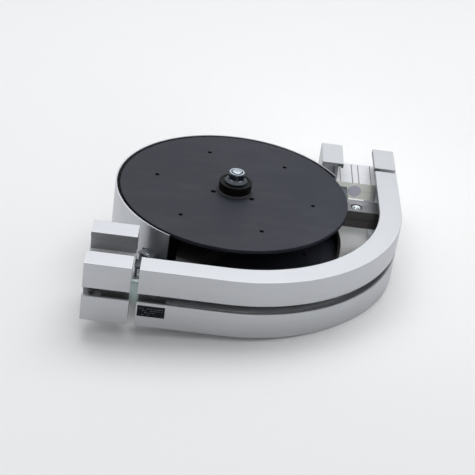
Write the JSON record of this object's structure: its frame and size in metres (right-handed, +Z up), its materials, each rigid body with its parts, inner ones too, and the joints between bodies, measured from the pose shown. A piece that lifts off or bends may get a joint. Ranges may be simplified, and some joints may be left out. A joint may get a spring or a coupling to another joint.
{
  "type": "conveyor wheel bend",
  "caption": "Ninety-degree wheel bend for a flexible-chain conveyor: turning wheels on one axle inside a curved slotted aluminium profile with straight ends and a sheet guard.",
  "frame": {"origin": "on the wheels' common axis, at the height of the profiles' bottom face", "axes": "+Z up along the wheels' axis, +X the way the upper chain runs in, +Y the way it runs out"},
  "size_m": [0.345, 0.3458, 0.1146],
  "materials": {
    "anodised_profile": "matt natural anodised",
    "anodised_web": "matt natural anodised",
    "machined_carrier": "machined, slightly dull",
    "guard_aluminium": "brushed sheet",
    "bracket_grey": "plain sheet",
    "grey_plug": "moulded",
    "zinc_steel": "bright zinc plated",
    "bearing_steel": "ground",
    "black_steel": "black oxide",
    "black_plastic": "moulded",
    "charcoal_plastic": "moulded and turned",
    "black_rubber": "moulded",
    "black_label": "printed",
    "brass_cage": "pressed"
  },
  "bodies": {
    "frame": {"outer_bend_profile": "anodised_profile", "outfeed_outer_half": "anodised_profile", "infeed_outer_half": "anodised_profile", "outfeed_inner_half": "anodised_profile", "infeed_inner_half": "anodised_profile", "outfeed_web_upper": "anodised_web", "infeed_web_upper": "anodised_web", "outfeed_web_lower": "anodised_web", "infeed_web_lower": "anodised_web", "outfeed_web_dowel": "grey_plug", "infeed_web_dowel": "grey_plug", "outfeed_tie_screws": "zinc_steel", "infeed_tie_screws": "zinc_steel", "outfeed_joining_strip": "zinc_steel", "infeed_joining_strip": "zinc_steel", "outfeed_strip_grub_screws": "zinc_steel", "infeed_strip_grub_screws": "zinc_steel", "outfeed_guard_bracket": "bracket_grey", "infeed_guard_bracket": "bracket_grey", "carrier_upper_plate": "machined_carrier", "carrier_lower_plate": "machined_carrier", "carrier_pad_screws": "zinc_steel", "carrier_hub_screws": "zinc_steel", "carrier_side_screws": "zinc_steel", "carrier_captive_nuts": "zinc_steel", "axle_bolt": "zinc_steel", "axle_flange_nut": "zinc_steel", "upper_end_spacer": "zinc_steel", "lower_end_spacer": "zinc_steel", "upper_carrier_washer": "zinc_steel", "lower_carrier_washer": "zinc_steel", "upper_ring_sleeve": "zinc_steel", "lower_ring_sleeve": "zinc_steel", "upper_bearing_inner_rings": "bearing_steel", "lower_bearing_inner_rings": "bearing_steel", "guard_sheet": "guard_aluminium", "guard_rivets": "zinc_steel", "guard_bracket_screws": "zinc_steel", "nameplate": "black_label"},
    "upper_wheel": {"upper_wheel_disc": "charcoal_plastic", "upper_wheel_hub": "black_plastic", "upper_foot_ring": "black_rubber", "upper_dust_cap": "black_plastic", "upper_disc_screws": "black_steel", "upper_bearing_outer_rings": "bearing_steel", "upper_bearing_seals": "black_rubber"},
    "lower_wheel": {"lower_wheel_disc": "charcoal_plastic", "lower_wheel_hub": "black_plastic", "lower_foot_ring": "black_rubber", "lower_dust_cap": "black_plastic", "lower_disc_screws": "black_steel", "lower_bearing_outer_rings": "bearing_steel", "lower_bearing_seals": "black_rubber", "lower_wheel_rim": "black_plastic"},
    "upper_ball_set": {"upper_bearing_balls": "bearing_steel", "upper_bearing_cages": "brass_cage"},
    "lower_ball_set": {"lower_bearing_balls": "bearing_steel", "lower_bearing_cages": "brass_cage"}
  },
  "joints": [
    {"name": "upper_wheel_spin", "type": "hinge", "parent": "frame", "child": "upper_wheel", "pos_m": [0, 0, 0.07], "axis": [0, 0, 1], "continuous": true},
    {"name": "lower_wheel_spin", "type": "hinge", "parent": "frame", "child": "lower_wheel", "pos_m": [0, 0, 0], "axis": [0, 0, 1], "continuous": true},
    {"name": "upper_ball_roll", "type": "hinge", "parent": "frame", "child": "upper_ball_set", "pos_m": [0, 0, 0.06525], "axis": [0, 0, 1], "continuous": true},
    {"name": "lower_ball_roll", "type": "hinge", "parent": "frame", "child": "lower_ball_set", "pos_m": [0, 0, 0.00475], "axis": [0, 0, 1], "continuous": true}
  ],
  "couplings": [
    {"joint": "upper_ball_roll", "follows": "upper_wheel_spin", "ratio": 0.6318},
    {"joint": "lower_ball_roll", "follows": "lower_wheel_spin", "ratio": 0.6318}
  ]
}
